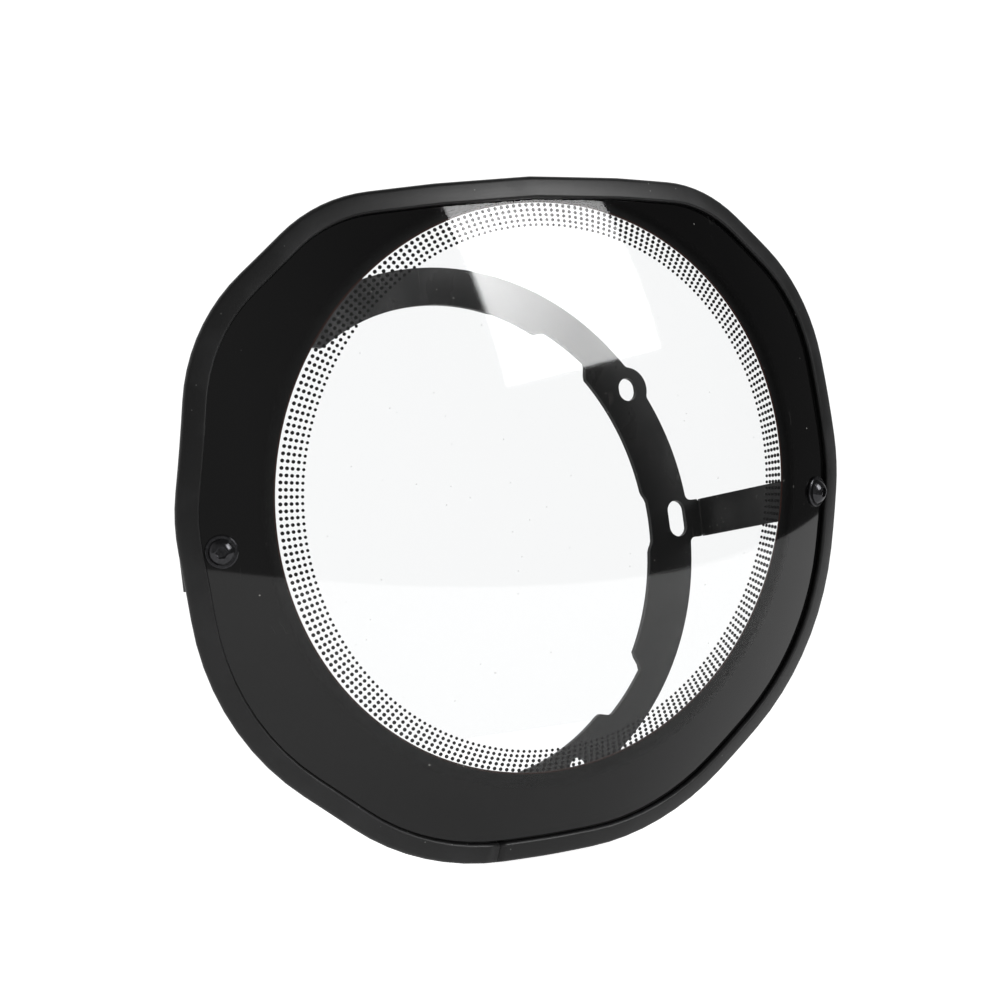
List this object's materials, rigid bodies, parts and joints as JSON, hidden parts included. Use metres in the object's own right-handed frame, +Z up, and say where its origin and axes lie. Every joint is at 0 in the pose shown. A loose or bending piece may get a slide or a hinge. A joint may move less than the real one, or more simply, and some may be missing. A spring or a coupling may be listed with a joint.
{
  "type": "headlight cowl",
  "caption": "Clear domed cowl with a printed black border and soft edge trim, held by folded arms on a flat steel ring that bolts round a motorbike headlamp.",
  "frame": {"origin": "centre of the bracket ring's opening, on the ring's flat rear face, midway between the two side slots", "axes": "+X to the right of a viewer in front of the shell, -Y forwards, +Z up"},
  "size_m": [0.3072, 0.1063, 0.2684],
  "materials": {
    "clear_plastic": "clear, polished",
    "black_print": "black printed layer seen through the gloss shell",
    "black_rubber": "matt black",
    "black_steel": "satin black paint",
    "black_screw": "glossy black coating",
    "zinc_steel": "zinc plated"
  },
  "bodies": {
    "root": {"clear_shell": "clear_plastic", "printed_border": "black_print", "edge_trim": "black_rubber", "mounting_bracket": "black_steel", "screws": "black_screw", "outer_washers": "black_screw", "rubber_washers": "black_rubber", "nuts": "zinc_steel"}
  },
  "joints": []
}
